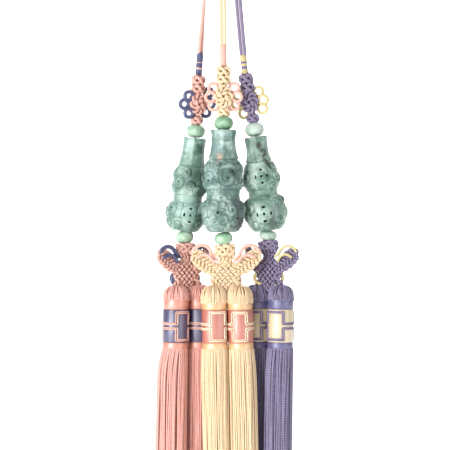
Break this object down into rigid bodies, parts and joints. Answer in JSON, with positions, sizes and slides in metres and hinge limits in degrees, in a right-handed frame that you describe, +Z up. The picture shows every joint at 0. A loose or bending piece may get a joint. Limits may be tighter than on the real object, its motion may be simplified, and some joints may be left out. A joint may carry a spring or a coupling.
{
  "type": "norigae",
  "caption": "Hanging dress ornament of knotted silk cord strands with carved jade gourds and fringed tassels.",
  "frame": {"origin": "crook of the clasp's hook, where the ornament hangs", "axes": "+Z up along the strands, +X to the right seen from the front, +Y away from the viewer"},
  "size_m": [0.0763, 0.0344, 0.3864],
  "materials": {
    "pink_silk": "silk, braided or wound",
    "cream_silk": "silk, braided or wound",
    "violet_silk": "silk, braided or wound",
    "pink_thread": "silk, braided or wound",
    "cream_thread": "silk, braided or wound",
    "violet_thread": "silk, braided or wound",
    "pink_satin": "silk, satin",
    "cream_satin": "silk, satin",
    "violet_satin": "silk, satin",
    "pink_band": "silk, satin",
    "cream_band": "silk, satin",
    "violet_band": "silk, satin",
    "jade": "polished, softly glossy",
    "pale_jade": "polished, softly glossy",
    "clasp_brass": "satin"
  },
  "bodies": {
    "root": {"top_clasp": "clasp_brass", "pink_cord": "pink_silk", "pink_binding": "pink_thread", "pink_crown_knots": "pink_silk", "pink_flower_knot": "pink_silk", "pink_flower_rings": "pink_thread", "pink_neck_knot": "pink_silk", "pink_upper_bead": "pale_jade", "pink_gourd": "jade", "pink_lower_bead": "pale_jade", "pink_bead_thread": "pink_silk", "pink_collar_knot": "pink_silk", "pink_butterfly_knot": "pink_silk", "pink_butterfly_loops": "pink_thread", "pink_left_tassel": "pink_satin", "pink_left_band": "pink_band", "pink_right_tassel": "pink_satin", "pink_right_band": "pink_band", "cream_cord": "cream_silk", "cream_binding": "cream_thread", "cream_crown_knots": "cream_silk", "cream_flower_knot": "cream_silk", "cream_flower_rings": "cream_thread", "cream_neck_knot": "cream_silk", "cream_upper_bead": "pale_jade", "cream_gourd": "jade", "cream_lower_bead": "pale_jade", "cream_bead_thread": "cream_silk", "cream_collar_knot": "cream_silk", "cream_butterfly_knot": "cream_silk", "cream_butterfly_loops": "cream_thread", "cream_left_tassel": "cream_satin", "cream_left_band": "cream_band", "cream_right_tassel": "cream_satin", "cream_right_band": "cream_band", "violet_cord": "violet_silk", "violet_binding": "violet_thread", "violet_crown_knots": "violet_silk", "violet_flower_knot": "violet_silk", "violet_flower_rings": "violet_thread", "violet_neck_knot": "violet_silk", "violet_upper_bead": "pale_jade", "violet_gourd": "jade", "violet_lower_bead": "pale_jade", "violet_bead_thread": "violet_silk", "violet_collar_knot": "violet_silk", "violet_butterfly_knot": "violet_silk", "violet_butterfly_loops": "violet_thread", "violet_left_tassel": "violet_satin", "violet_left_band": "violet_band", "violet_right_tassel": "violet_satin", "violet_right_band": "violet_band"}
  },
  "joints": []
}
